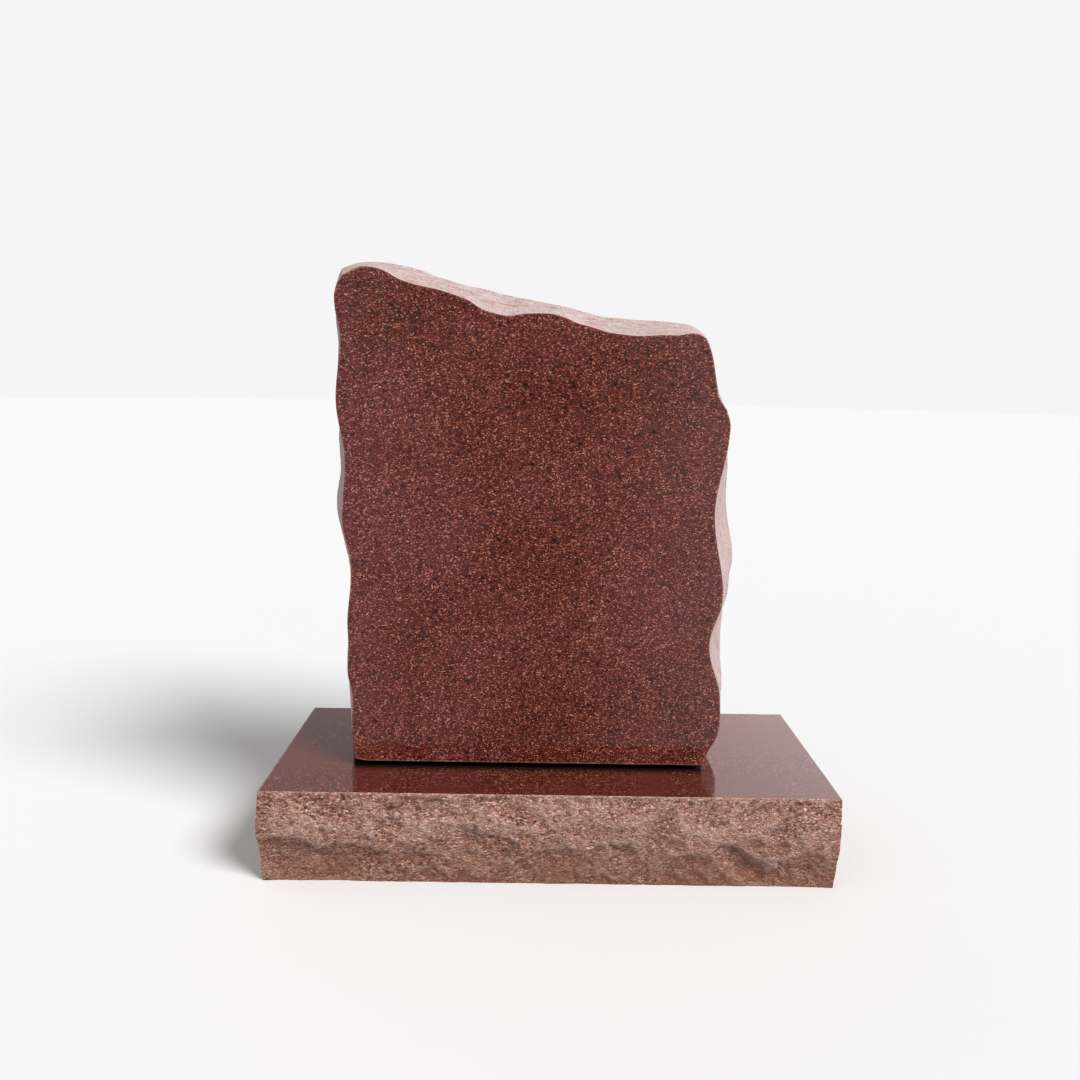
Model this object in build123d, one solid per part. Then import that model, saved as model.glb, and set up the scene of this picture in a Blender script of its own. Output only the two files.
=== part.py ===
from build123d import *
import math
import os

# Boulder memorial: a polished granite tablet with dressed edges, standing on a rock-pitched base.
# All sizes are millimetres. X runs along the base, Z is up, and the polished face looks along -Y.
# The origin is the centre of the base's underside.

# Base
BASE_LENGTH = 914.0       # along the top arris, a 36 inch base
BASE_DEPTH = 330.0        # along the top arris, a 13 inch base
BASE_HEIGHT = 155.0
ROCK_PROUD_SIDES = 9.0    # how far the pitched rock stands in front of the top arris, front and back
ROCK_PROUD_ENDS = 3.5     # the same at the two ends
BOTTOM_TUCK = 3.0         # how far the rock falls back behind the arris line at the underside
CREST_HEIGHT_SHARE = 0.62  # where up the side the pitched rock stands furthest out
FACET_LENGTH = 34.0       # about the length of one facet of the rock
FACET_LEVELS = 6          # rows of facets between the underside and the top
FACET_JITTER = 0.28       # how far a facet's corner strays, as a share of the facet

# Spalls on the base's front: flakes struck off by the pitching tool.
# Each is (distance from the middle, height above the underside, reach, depth).
FRONT_SPALLS = [
    (-392.0, 52.0, 74.0, 9.0),
    (-300.0, 40.0, 78.0, 8.0),
    (-205.0, 120.0, 46.0, 5.0),
    (-118.0, 66.0, 62.0, 6.0),
    (-20.0, 34.0, 80.0, 8.0),
    (48.0, 118.0, 52.0, 5.0),
    (150.0, 40.0, 74.0, 7.0),
    (196.0, 108.0, 44.0, 6.0),
    (318.0, 30.0, 62.0, 10.0),
    (392.0, 104.0, 50.0, 5.0),
]
SPALL_FLATTENING = 1.35   # a spall is this much longer than it is high
SPALL_FADE = 4.0          # spalls fade out over the height divided by this, at each arris
CORNER_CROWN_SHARE = 0.5  # how much of the rock's crown is left at the corners
PLAIN_SPALL_SPACING = 118.0   # along the back and the ends
PLAIN_SPALL_REACH = 66.0
PLAIN_SPALL_DEPTH = 7.0

# Tablet
TABLET_THICKNESS = 152.0  # 6 inches, face to sawn back
TABLET_SET_BACK = 0.0     # how far the tablet's middle stands behind the base's middle
FACE_FOOT_LEFT = -324.0   # the polished face at its foot
FACE_FOOT_RIGHT = 254.0
FACE_HEAD_LEFT = -325.0   # the high corner
FACE_HEAD_HEIGHT = 787.0  # heights are above the base's top
FACE_SHOULDER_RIGHT = 223.0
FACE_SHOULDER_HEIGHT = 701.0
BACK_FLARE_FOOT_LEFT = 42.0   # how much further out the back outline stands than the face's
BACK_FLARE_FOOT_RIGHT = 31.0
BACK_FLARE_HEAD_LEFT = 32.0
BACK_FLARE_HEAD_TOP = 25.0
BACK_FLARE_SHOULDER_RIGHT = 28.0
BACK_FLARE_SHOULDER_TOP = 19.0
FLARE_POWER = 0.85        # under 1, the edge rises quickest just behind the face
STATIONS_PER_SIDE = 26    # points along each dressed side
DEPTH_STATIONS = 4        # sections from the face to the back

# Foot of the tablet: the arris is dressed away round the bed that it rests on.
FOOT_CLEARANCE = 10.0     # how high the face's lowest edge stands above the base
BED_SET_BACK_FACES = 36.0  # how far inside the face and the back the bed starts
BED_SET_BACK_ENDS = 22.0
BED_INSET = 1.5           # the dressed foot starts this far inside the tablet's lowest outline

# The dressed edges, as crests and hollows: (share of the side, how far out of its straight line).
FACE_LEFT_DRESSING = [
    (0.08, 4.0), (0.14, 1.0), (0.20, 8.0), (0.255, 5.0), (0.30, 6.0), (0.406, -2.0),
    (0.54, 14.0), (0.645, 2.0), (0.76, 13.0), (0.857, 6.0), (0.945, 12.5), (0.98, 9.5),
]
FACE_RIGHT_DRESSING = [
    (0.022, 9.0), (0.10, 29.0), (0.16, 29.0), (0.30, 10.0), (0.42, 31.0), (0.61, 16.0),
    (0.80, 37.0), (0.885, 18.0), (0.93, 14.0), (0.97, 9.0),
]
FACE_TOP_DRESSING = [
    (0.03, 9.0), (0.063, 14.0), (0.116, 11.0), (0.172, 3.0), (0.28, 1.0), (0.335, -5.0),
    (0.41, -18.0), (0.46, -18.0), (0.53, -7.0), (0.585, -4.0), (0.67, -12.0), (0.745, -16.0),
    (0.81, -14.0), (0.893, -5.0), (0.975, 5.0),
]
BACK_LEFT_DRESSING = [
    (0.09, 0.0), (0.13, 5.0), (0.36, -3.0), (0.506, 19.0), (0.61, 9.0), (0.723, 12.0),
    (0.845, 10.0), (0.916, 14.0), (0.973, 11.0),
]
BACK_RIGHT_DRESSING = [
    (0.13, 33.0), (0.18, 32.0), (0.266, 32.0), (0.449, 52.0), (0.60, 40.0), (0.76, 42.0),
    (0.854, 25.0), (0.923, 13.5), (0.972, 8.0),
]
BACK_TOP_DRESSING = [
    (0.038, 12.0), (0.092, 21.0), (0.20, 21.0), (0.36, 7.5), (0.47, 3.0), (0.58, 2.0),
    (0.72, -4.0), (0.80, 0.0), (0.885, 5.5), (0.945, 7.5),
]

GOLDEN_SHARE = 0.618      # spreads irregular places evenly


def wave(number, seed):
    """An irregular but repeatable value from -1 to 1 for a whole number and a seed."""
    return 2 * ((number * GOLDEN_SHARE + seed * GOLDEN_SHARE ** 2 + math.sin(12.9 * number + 4.1 * seed)) % 1) - 1


# ---------------------------------------------------------------- tablet


def dressing_at(dressing, share):
    """How far a dressed side stands out at a share of its length: half cosine waves between
    its crests and hollows, and nothing at its two ends."""
    knots = [(0.0, 0.0)] + dressing + [(1.0, 0.0)]
    for (start, low), (end, high) in zip(knots, knots[1:]):
        if share <= end:
            turn = (1 - math.cos(math.pi * (share - start) / (end - start))) / 2
            return low + (high - low) * turn
    return 0.0


def dressed_side(start, end, dressing, share):
    """The point at a share of the way from one corner to the next, moved out by the dressing.
    Outwards is to the left of the way from start to end, in the plane of the face."""
    along_x, along_z = end[0] - start[0], end[1] - start[1]
    length = math.hypot(along_x, along_z)
    out = dressing_at(dressing, share)
    return (
        start[0] + along_x * share - along_z / length * out,
        start[1] + along_z * share + along_x / length * out,
    )


def face_corners():
    """Corners of the polished face: foot left, head left, shoulder right and foot right."""
    return [
        (FACE_FOOT_LEFT, FOOT_CLEARANCE),
        (FACE_HEAD_LEFT, FACE_HEAD_HEIGHT),
        (FACE_SHOULDER_RIGHT, FACE_SHOULDER_HEIGHT),
        (FACE_FOOT_RIGHT, FOOT_CLEARANCE),
    ]


def back_corners():
    """Corners of the sawn back, which stands out all round behind the face."""
    return [
        (FACE_FOOT_LEFT - BACK_FLARE_FOOT_LEFT, FOOT_CLEARANCE),
        (FACE_HEAD_LEFT - BACK_FLARE_HEAD_LEFT, FACE_HEAD_HEIGHT + BACK_FLARE_HEAD_TOP),
        (FACE_SHOULDER_RIGHT + BACK_FLARE_SHOULDER_RIGHT, FACE_SHOULDER_HEIGHT + BACK_FLARE_SHOULDER_TOP),
        (FACE_FOOT_RIGHT + BACK_FLARE_FOOT_RIGHT, FOOT_CLEARANCE),
    ]


def side_points(side, flare, depth):
    """Points along one dressed side (0 left, 1 top, 2 right) at one depth. The face's outline
    turns into the back's as flare goes from 0 to 1."""
    face_dressing = [FACE_LEFT_DRESSING, FACE_TOP_DRESSING, FACE_RIGHT_DRESSING][side]
    back_dressing = [BACK_LEFT_DRESSING, BACK_TOP_DRESSING, BACK_RIGHT_DRESSING][side]
    face, back = face_corners(), back_corners()
    points = []
    for number in range(STATIONS_PER_SIDE + 1):
        share = number / STATIONS_PER_SIDE
        # The right side's lists run up from its foot, against the way round the outline.
        if side == 2:
            near = mirrored_side(face, face_dressing, 1 - share)
            far = mirrored_side(back, back_dressing, 1 - share)
        else:
            near = dressed_side(face[side], face[side + 1], face_dressing, share)
            far = dressed_side(back[side], back[side + 1], back_dressing, share)
        x = near[0] + (far[0] - near[0]) * flare
        z = near[1] + (far[1] - near[1]) * flare
        points.append(Vector(x, depth, BASE_HEIGHT + z))
    return points


def mirrored_side(corners, dressing, share):
    """A point on the right side, whose shares count up from the foot. Out is to the right there."""
    foot, shoulder = corners[3], corners[2]
    return dressed_side(foot, shoulder, [(at, -out) for at, out in dressing], share)


def tablet_section(share):
    """The tablet's closed outline at a share of its thickness, from the face to the back."""
    depth = TABLET_SET_BACK + TABLET_THICKNESS * (share - 0.5)
    sides = [Spline(*side_points(side, share ** FLARE_POWER, depth)) for side in range(3)]
    foot = Line(sides[2] @ 1, sides[0] @ 0)
    return Wire([sides[0], sides[1], sides[2], foot])


def foot_outline(set_back_faces, set_back_ends, height):
    """A four-sided outline inside the tablet's lowest outline, at one height."""
    front = TABLET_SET_BACK - TABLET_THICKNESS / 2 + set_back_faces
    rear = TABLET_SET_BACK + TABLET_THICKNESS / 2 - set_back_faces
    face, back = face_corners(), back_corners()
    corners = [
        (face[0][0] + set_back_ends, front),
        (face[3][0] - set_back_ends, front),
        (back[3][0] - set_back_ends, rear),
        (back[0][0] + set_back_ends, rear),
    ]
    return Wire.make_polygon([Vector(x, y, BASE_HEIGHT + height) for x, y in corners])


def make_tablet():
    """The tablet: a solid through the outlines from face to back, on its dressed foot."""
    sections = [tablet_section(number / (DEPTH_STATIONS - 1)) for number in range(DEPTH_STATIONS)]
    body = Solid.make_loft(sections)
    foot = Solid.make_loft([
        foot_outline(BED_SET_BACK_FACES, BED_SET_BACK_ENDS, 0.0),
        foot_outline(BED_INSET, BED_INSET, FOOT_CLEARANCE),
    ], ruled=True)
    return body + foot


# ---------------------------------------------------------------- base


def plain_spalls(length, seed):
    """Spalls for a side with no features of its own, spaced along it and straying up and down."""
    count = max(2, round(length / PLAIN_SPALL_SPACING))
    return [
        (
            length * ((number + 0.5) / count - 0.5) + 14 * wave(number, seed),
            BASE_HEIGHT * (0.45 + 0.22 * wave(number, seed + 1)),
            PLAIN_SPALL_REACH * (1 + 0.2 * wave(number, seed + 2)),
            PLAIN_SPALL_DEPTH * (1 + 0.3 * wave(number, seed + 3)),
        )
        for number in range(count)
    ]


def crown(height, proud):
    """The pitched rock's profile: tucked in at the underside, proud above the middle, and back
    to the arris line at the top."""
    share = height / BASE_HEIGHT
    if share < CREST_HEIGHT_SHARE:
        rise = math.sin(math.pi / 2 * share / CREST_HEIGHT_SHARE)
        return -BOTTOM_TUCK + (proud + BOTTOM_TUCK) * rise
    return proud * math.cos(math.pi / 2 * (share - CREST_HEIGHT_SHARE) / (1 - CREST_HEIGHT_SHARE))


def rock_relief(along, height, proud, spalls):
    """How far the pitched rock stands out of the arris line: its crown, less the deepest spall
    there, which fades out towards the two arrises."""
    share = height / BASE_HEIGHT
    bite = 0.0
    for centre, level, reach, depth in spalls:
        away = math.hypot((along - centre) / SPALL_FLATTENING, height - level) / reach
        bite = max(bite, depth * (1 - away ** 2))
    return crown(height, proud) - bite * min(1.0, SPALL_FADE * share, SPALL_FADE * (1 - share))


def corner_edge(corner):
    """Points up one corner of the base, where two pitched sides meet a little held back."""
    right, rear = math.copysign(1, corner[0]), math.copysign(1, corner[1])
    points = []
    for level in range(FACET_LEVELS + 1):
        height = BASE_HEIGHT * level / FACET_LEVELS
        points.append(Vector(
            corner[0] + right * CORNER_CROWN_SHARE * crown(height, ROCK_PROUD_ENDS),
            corner[1] + rear * CORNER_CROWN_SHARE * crown(height, ROCK_PROUD_SIDES),
            height,
        ))
    return points


def rock_side(start, end, out, proud, spalls, seed):
    """Rows of points on one pitched side, from the underside up to the straight top arris.
    start and end are its corners in plan, and out is the way it faces."""
    length = math.hypot(end[0] - start[0], end[1] - start[1])
    columns = round(length / FACET_LENGTH)
    reliefs = []
    for level in range(FACET_LEVELS):
        row = []
        for column in range(1, columns):
            stray = FACET_JITTER if level else 0.0
            share = (column + FACET_JITTER * wave(column + 31 * level, seed)) / columns
            height = BASE_HEIGHT * (level + stray * wave(column + 17 * level, seed + 5)) / FACET_LEVELS
            row.append((share, height, rock_relief(length * (share - 0.5), height, proud, spalls)))
        reliefs.append(row)
    reliefs.append([(column / columns, BASE_HEIGHT, 0.0) for column in range(1, columns)])
    highest = max(relief for row in reliefs for _, _, relief in row)
    first, last = corner_edge(start), corner_edge(end)
    rows = []
    for level, row in enumerate(reliefs):
        inner = [
            Vector(
                start[0] + (end[0] - start[0]) * share + out[0] * relief * proud / highest,
                start[1] + (end[1] - start[1]) * share + out[1] * relief * proud / highest,
                height,
            )
            for share, height, relief in row
        ]
        rows.append([first[level]] + inner + [last[level]])
    return rows


def facets(rows):
    """Triangles between rows of points, split the shorter way across each cell."""
    faces = []
    for low, high in zip(rows, rows[1:]):
        for column in range(len(low) - 1):
            a, b, c, d = low[column], low[column + 1], high[column + 1], high[column]
            if (a - c).length < (b - d).length:
                triangles = [(a, b, c), (a, c, d)]
            else:
                triangles = [(a, b, d), (b, c, d)]
            faces += [Face(Wire.make_polygon(triangle)) for triangle in triangles]
    return faces


def make_base():
    """The base: a flat polished top and a flat sawn underside, joined by four pitched sides."""
    half_x, half_y = BASE_LENGTH / 2, BASE_DEPTH / 2
    corners = [(-half_x, -half_y), (half_x, -half_y), (half_x, half_y), (-half_x, half_y)]
    outs = [(0, -1), (1, 0), (0, 1), (-1, 0)]
    prouds = [ROCK_PROUD_SIDES, ROCK_PROUD_ENDS, ROCK_PROUD_SIDES, ROCK_PROUD_ENDS]
    lengths = [BASE_LENGTH, BASE_DEPTH, BASE_LENGTH, BASE_DEPTH]
    sides = []
    for number in range(4):
        spalls = FRONT_SPALLS if number == 0 else plain_spalls(lengths[number], number)
        sides.append(
            rock_side(corners[number], corners[(number + 1) % 4], outs[number], prouds[number], spalls, number)
        )
    faces = [face for side in sides for face in facets(side)]
    underside = [point for side in sides for point in side[0][:-1]]
    top = [point for side in sides for point in side[-1][:-1]]
    faces.append(Face(Wire.make_polygon(underside[::-1])))
    faces.append(Face(Wire.make_polygon(top)))
    return Solid(Shell(faces))


def main():
    os.makedirs("parts", exist_ok=True)
    export_step(make_tablet(), "parts/tablet.step")
    export_step(make_base(), "parts/base.step")


main()
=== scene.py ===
"""A boulder memorial in red granite: a polished tablet with dressed edges on a rock-pitched base.

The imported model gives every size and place. The tablet and the base are each one closed surface
through rings of points, worked out as whole arrays, in metres, with Z up and the face along -Y.
"""

import logging
import math
from dataclasses import dataclass, field, replace
from enum import Enum, IntEnum

import bpy
import numpy as np
from mathutils import Matrix, Vector


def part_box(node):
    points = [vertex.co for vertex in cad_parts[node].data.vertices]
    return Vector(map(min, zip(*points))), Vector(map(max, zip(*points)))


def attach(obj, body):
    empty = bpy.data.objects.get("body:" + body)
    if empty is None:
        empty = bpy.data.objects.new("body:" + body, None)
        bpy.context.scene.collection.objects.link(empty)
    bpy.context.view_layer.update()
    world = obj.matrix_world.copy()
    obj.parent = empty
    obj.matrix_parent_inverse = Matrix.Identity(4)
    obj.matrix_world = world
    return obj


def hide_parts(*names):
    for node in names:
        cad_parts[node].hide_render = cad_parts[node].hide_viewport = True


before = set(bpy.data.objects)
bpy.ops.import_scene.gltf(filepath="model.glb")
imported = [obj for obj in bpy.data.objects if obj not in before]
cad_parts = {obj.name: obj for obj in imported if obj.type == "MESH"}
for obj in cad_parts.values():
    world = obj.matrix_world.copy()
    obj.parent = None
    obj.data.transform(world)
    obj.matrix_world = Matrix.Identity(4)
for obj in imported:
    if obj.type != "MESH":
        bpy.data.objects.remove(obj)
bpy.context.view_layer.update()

log = logging.getLogger("boulder_memorial")

Socket = bpy.types.NodeSocket
Colour = tuple[float, float, float]
Span = tuple[float, float]
Work = tuple[Span, ...]
MM = 0.001


# --- numbers over whole arrays


def smooth(value: np.ndarray) -> np.ndarray:
    """Eases values from 0 to 1: three times the square less twice the cube, clipped at both ends."""
    held = np.clip(value, 0.0, 1.0)
    return held * held * (3.0 - 2.0 * held)


def value_noise(points: np.ndarray, cell: np.ndarray, seed: int) -> np.ndarray:
    """Smooth noise in space.

    Random values stand at the corners of a lattice of boxes, and each point takes the mix of
    the eight corners round it, weighted by the eased shares of the way across its box.

    Args:
        points: Places, of shape (..., 3).
        cell: The size of one box, the same each way or along X, Y and Z.
        seed: The seed of the random values.

    Returns:
        Values from -1 to 1, one for each point.
    """
    size = 32
    table = np.random.default_rng(seed).uniform(-1.0, 1.0, (size, size, size))
    place = points / cell
    floor = np.floor(place)
    share = smooth(place - floor)
    index = floor.astype(int)
    total = np.zeros(points.shape[:-1])
    for corner in np.ndindex(2, 2, 2):
        at = (index + np.array(corner)) % size
        weight = np.prod(np.where(np.array(corner) == 1, share, 1.0 - share), axis=-1)
        total += table[at[..., 0], at[..., 1], at[..., 2]] * weight
    return total


@dataclass(frozen=True)
class Roughness:
    """Noise on noise: each octave has boxes half as large and counts half as much.

    Attributes:
        height: About how far it goes to each side of nothing.
        cell: The largest boxes' size, the same each way or along X, Y and Z.
        octaves: How many sizes of boxes are added.
        seed: The first octave's seed; the next ones count on from it.
    """

    height: float
    cell: float | tuple[float, float, float]
    octaves: int
    seed: int

    def over(self, points: np.ndarray) -> np.ndarray:
        """The noise's value at each point.

        Args:
            points: Places, of shape (..., 3), in the unit of the cell.

        Returns:
            One value for each point.
        """
        total = np.zeros(points.shape[:-1])
        for octave in range(self.octaves):
            step = 0.5 ** octave
            total += step * value_noise(points, np.array(self.cell) * step, self.seed + octave)
        return self.height * (total / (2.0 - 0.5 ** (self.octaves - 1)))


def way_along(points: np.ndarray) -> np.ndarray:
    """The way along a row of points: the lengths of the steps, added up to each point."""
    return np.concatenate([[0.0], np.cumsum(np.linalg.norm(np.diff(points, axis=0), axis=1))])


def box_mean(grid: np.ndarray, reach: int) -> np.ndarray:
    """The mean over a square round each point: sums up to a point, less sums up to another.

    Args:
        grid: Values of shape (rows, columns).
        reach: How many points the square reaches to each side.

    Returns:
        The means, of the same shape, with the border's values held beyond it.
    """
    side = 2 * reach + 1
    padded = np.pad(grid, reach, mode="edge")
    sums = np.pad(padded.cumsum(axis=0).cumsum(axis=1), ((1, 0), (1, 0)))
    total = sums[side:, side:] - sums[:-side, side:] - sums[side:, :-side] + sums[:-side, :-side]
    return total / side ** 2


@dataclass(frozen=True)
class Flake:
    """One shell-shaped flake struck off a stone, in millimetres.

    Attributes:
        along: Its centre along the side.
        up: Its centre up or across the side.
        reach: Half its length.
        width: Half its width.
        depth: How deep it cuts at the deepest.
        turn: How far its length is turned from the side's, in degrees.
        skew: How far the deepest place is moved towards its end, from -1 to 1.
    """

    along: float
    up: float
    reach: float
    width: float
    depth: float
    turn: float = 0.0
    skew: float = 0.0


def struck(along: np.ndarray, up: np.ndarray, flakes: list[Flake]) -> np.ndarray:
    """How deep the flakes cut together.

    Each flake is a bowl: its depth times one less the square of the distance from its centre,
    measured in half lengths and half widths, and heavier towards its skewed end. Where bowls
    meet, the deeper one holds, which leaves a crisp ridge between them.

    Args:
        along: Places along the side, in millimetres.
        up: Places up the side, in millimetres, the same shape.
        flakes: The flakes.

    Returns:
        Depths in millimetres, nothing where no flake reaches.
    """
    deepest = np.zeros(along.shape)
    for flake in flakes:
        turn = math.radians(flake.turn)
        across = along - flake.along
        over = up - flake.up
        length = (across * math.cos(turn) + over * math.sin(turn)) / flake.reach
        width = (over * math.cos(turn) - across * math.sin(turn)) / flake.width
        bowl = (1.0 - length ** 2 - width ** 2) * (1.0 + flake.skew * np.clip(width, -1.0, 1.0))
        np.maximum(deepest, flake.depth * bowl, out=deepest)
    return deepest


@dataclass(frozen=True)
class Strewing:
    """Flakes strewn over a side by a seeded draw, in millimetres.

    Attributes:
        every: The length of the side for each flake.
        reach: The least and the most half length.
        depth: The least and the most depth.
        stretch: The least and the most of half width over half length.
        seed: The seed of the draw.
    """

    every: float
    reach: Span
    depth: Span
    stretch: Span
    seed: int

    def over(self, length: float, height: float, side: int = 0) -> list[Flake]:
        """Draws the flakes of one side.

        Args:
            length: The side's length.
            height: The side's height.
            side: The side's number, which is added to the seed.

        Returns:
            The flakes, measured from the side's lower left corner.
        """
        draw = np.random.default_rng(self.seed + side).uniform(0.0, 1.0, (int(length / self.every), 7))
        reaches = self.reach[0] + (self.reach[1] - self.reach[0]) * draw[:, 2] ** 2
        depths = self.depth[0] + (self.depth[1] - self.depth[0]) * draw[:, 3] * draw[:, 2]
        widths = reaches * (self.stretch[0] + (self.stretch[1] - self.stretch[0]) * draw[:, 4])
        turns = 180.0 * draw[:, 5] - 90.0
        return [
            Flake(length * row[0], height * row[1], far, wide, deep, turn, 1.2 * row[6] - 0.6)
            for row, far, wide, deep, turn in zip(draw, reaches, widths, depths, turns)
        ]


# --- closed surfaces through rings


def linked(name: str, data: bpy.types.ID) -> bpy.types.Object:
    """Makes an object at the origin and links it to the scene."""
    made = bpy.data.objects.new(name, data)
    bpy.context.scene.collection.objects.link(made)
    return made


class Band(IntEnum):
    """The kinds of surface, in the order of a piece's materials."""

    POLISHED = 0
    STRUCK = 1
    SAWN = 2


@dataclass
class Rings:
    """A closed surface through rings of equally many points, with a point at each end.

    Attributes:
        name: The piece's name.
        rings: Arrays of shape (columns, 3), in order. Seen from outside, a ring's points run
            so that going along it and then on to the next ring turns to the left.
        bands: The kind of surface of each face that leads up to a ring.
        along: For every ring, each point's place along the edge and across it, in metres.
        wear_and_shade: For every ring, how bruised (to 1) or how deep in painted shade (to -1) each point
            is.
    """

    name: str
    rings: list[np.ndarray] = field(default_factory=list)
    bands: list[np.ndarray] = field(default_factory=list)
    along: list[np.ndarray] = field(default_factory=list)
    wear_and_shade: list[np.ndarray] = field(default_factory=list)

    def add(self, ring: np.ndarray, along: np.ndarray, wear_and_shade: np.ndarray, band: np.ndarray) -> None:
        """Adds one ring, with its bruising and painted shade and the kind of surface up to it, each for the
        ring or by point.
        """
        self.rings.append(ring)
        self.along.append(along)
        self.wear_and_shade.append(np.broadcast_to(wear_and_shade, len(ring)))
        self.bands.append(np.broadcast_to(band, len(ring)))

    def build(self, materials: list[bpy.types.Material], last: Band, crease: float) -> bpy.types.Object:
        """Makes the object: quads between the rings and a fan of triangles at each end.

        Args:
            materials: One material for each kind of surface.
            last: The kind of surface of the fan after the last ring.
            crease: The angle in degrees past which an edge shows as a crease.

        Returns:
            The new object, linked to the scene, at the origin.
        """
        columns = len(self.rings[0])
        count = len(self.rings)
        ends = np.array([self.rings[0].mean(axis=0), self.rings[-1].mean(axis=0)])
        points = np.concatenate([*self.rings, ends])
        here = np.arange(columns)
        onward = (here + 1) % columns
        band = np.arange(count - 1)[:, None] * columns
        quads = [band + here, band + onward, band + columns + onward, band + columns + here]
        quads = np.stack(quads, axis=-1).reshape(-1, 4)
        opening = np.stack([np.full(columns, len(points) - 2), onward, here], axis=-1)
        top = (count - 1) * columns
        closing = np.stack([np.full(columns, len(points) - 1), top + here, top + onward], axis=-1)
        mesh = bpy.data.meshes.new(self.name)
        mesh.from_pydata(points.tolist(), [], quads.tolist() + opening.tolist() + closing.tolist())
        numbers = np.concatenate([*self.bands[1:], self.bands[0], np.full(columns, last)])
        for material in materials:
            mesh.materials.append(material)
        mesh.polygons.foreach_set("material_index", numbers.astype(np.int32))
        mesh.polygons.foreach_set("use_smooth", numbers == Band.STRUCK)
        self._write(mesh, "along_edge", "FLOAT_VECTOR", self.along, 3)
        self._write(mesh, "wear_and_shade", "FLOAT", [values[:, None] for values in self.wear_and_shade], 1)
        mesh.set_sharp_from_angle(angle=math.radians(crease))
        mesh.update()
        mesh.validate()
        return linked(self.name, mesh)

    @staticmethod
    def _write(mesh: bpy.types.Mesh, name: str, kind: str, rings: list[np.ndarray], width: int) -> None:
        """Writes one value per point, with the rings' mean at the two end points."""
        values = np.concatenate([*rings, rings[0].mean(0, keepdims=True), rings[-1].mean(0, keepdims=True)])
        padded = np.zeros((len(values), width), np.float32)
        padded[:, : values.shape[1]] = values
        attribute = mesh.attributes.new(name, kind, "POINT")
        attribute.data.foreach_set("vector" if width == 3 else "value", padded.ravel())


# --- shader nodes


class NodeSheet:
    """Adds nodes to one tree and joins them, so that a recipe reads from its inputs to its end."""

    def __init__(self, tree: bpy.types.NodeTree) -> None:
        """Keeps the tree and empties it."""
        self.tree = tree
        tree.nodes.clear()

    def node(self, kind: str, sockets: dict | None = None, **settings: object) -> bpy.types.Node:
        """Adds a node.

        Args:
            kind: The name of the node's type.
            sockets: Values, or outputs to join, by the input's name or number.
            settings: The node's own settings.

        Returns:
            The node.
        """
        made = self.tree.nodes.new(kind)
        for name, value in settings.items():
            setattr(made, name, value)
        for name, value in (sockets or {}).items():
            if isinstance(value, Socket):
                self.tree.links.new(value, made.inputs[name])
            else:
                made.inputs[name].default_value = value
        return made

    def maths(self, operation: str, *values: object) -> Socket:
        """Adds a Math node on up to three values and returns its output."""
        return self.node("ShaderNodeMath", dict(enumerate(values)), operation=operation).outputs[0]

    def spread(self, value: Socket, low: float, high: float, to_low: float, to_high: float) -> Socket:
        """Carries a range onto another one, held at its ends, and returns the output."""
        sockets = {"Value": value, "From Min": low, "From Max": high, "To Min": to_low, "To Max": to_high}
        return self.node("ShaderNodeMapRange", sockets, clamp=True).outputs["Result"]

    def mix(self, share: object, first: object, second: object, blend: str = "MIX") -> Socket:
        """Adds a Mix node on two colours and returns its output."""
        sockets = {0: share, 6: first, 7: second}
        return self.node("ShaderNodeMix", sockets, data_type="RGBA", blend_type=blend).outputs[2]

    def noise(self, place: Socket, scale: object, detail: float, roughness: float = 0.5) -> Socket:
        """Adds a noise and returns its value."""
        sockets = {"Vector": place, "Scale": scale, "Detail": detail, "Roughness": roughness}
        return self.node("ShaderNodeTexNoise", sockets).outputs[0]

    def cells(self, place: Socket, scale: Socket) -> tuple[Socket, Socket]:
        """Adds cells and returns each one's own random value and the distance from its middle."""
        made = self.node("ShaderNodeTexVoronoi", {"Vector": place, "Scale": scale}).outputs
        return self.node("ShaderNodeSeparateColor", {0: made["Color"]}).outputs[0], made["Distance"]

    def ramp(self, value: Socket, stops: tuple[tuple[float, Colour], ...]) -> Socket:
        """Adds a ColorRamp through (place, colour) stops and returns its colour."""
        made = self.node("ShaderNodeValToRGB", {0: value})
        elements = made.color_ramp.elements
        for number, (place, colour) in enumerate(stops):
            element = elements[number] if number < 2 else elements.new(place)
            element.position = place
            element.color = (*colour, 1.0)
        return made.outputs[0]


def new_group(name: str, inputs: dict[str, str], outputs: dict[str, str]) -> tuple:
    """Starts a node group with named sockets.

    Args:
        name: The group's name.
        inputs: A type of socket for each input's name.
        outputs: A type of socket for each output's name.

    Returns:
        The group's tree, its sheet, its inputs' sockets and its output node.
    """
    tree = bpy.data.node_groups.new(name, "ShaderNodeTree")
    for way, sockets in (("INPUT", inputs), ("OUTPUT", outputs)):
        for label, kind in sockets.items():
            tree.interface.new_socket(label, in_out=way, socket_type="NodeSocket" + kind)
    sheet = NodeSheet(tree)
    return tree, sheet, sheet.node("NodeGroupInput").outputs, sheet.node("NodeGroupOutput")


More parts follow.
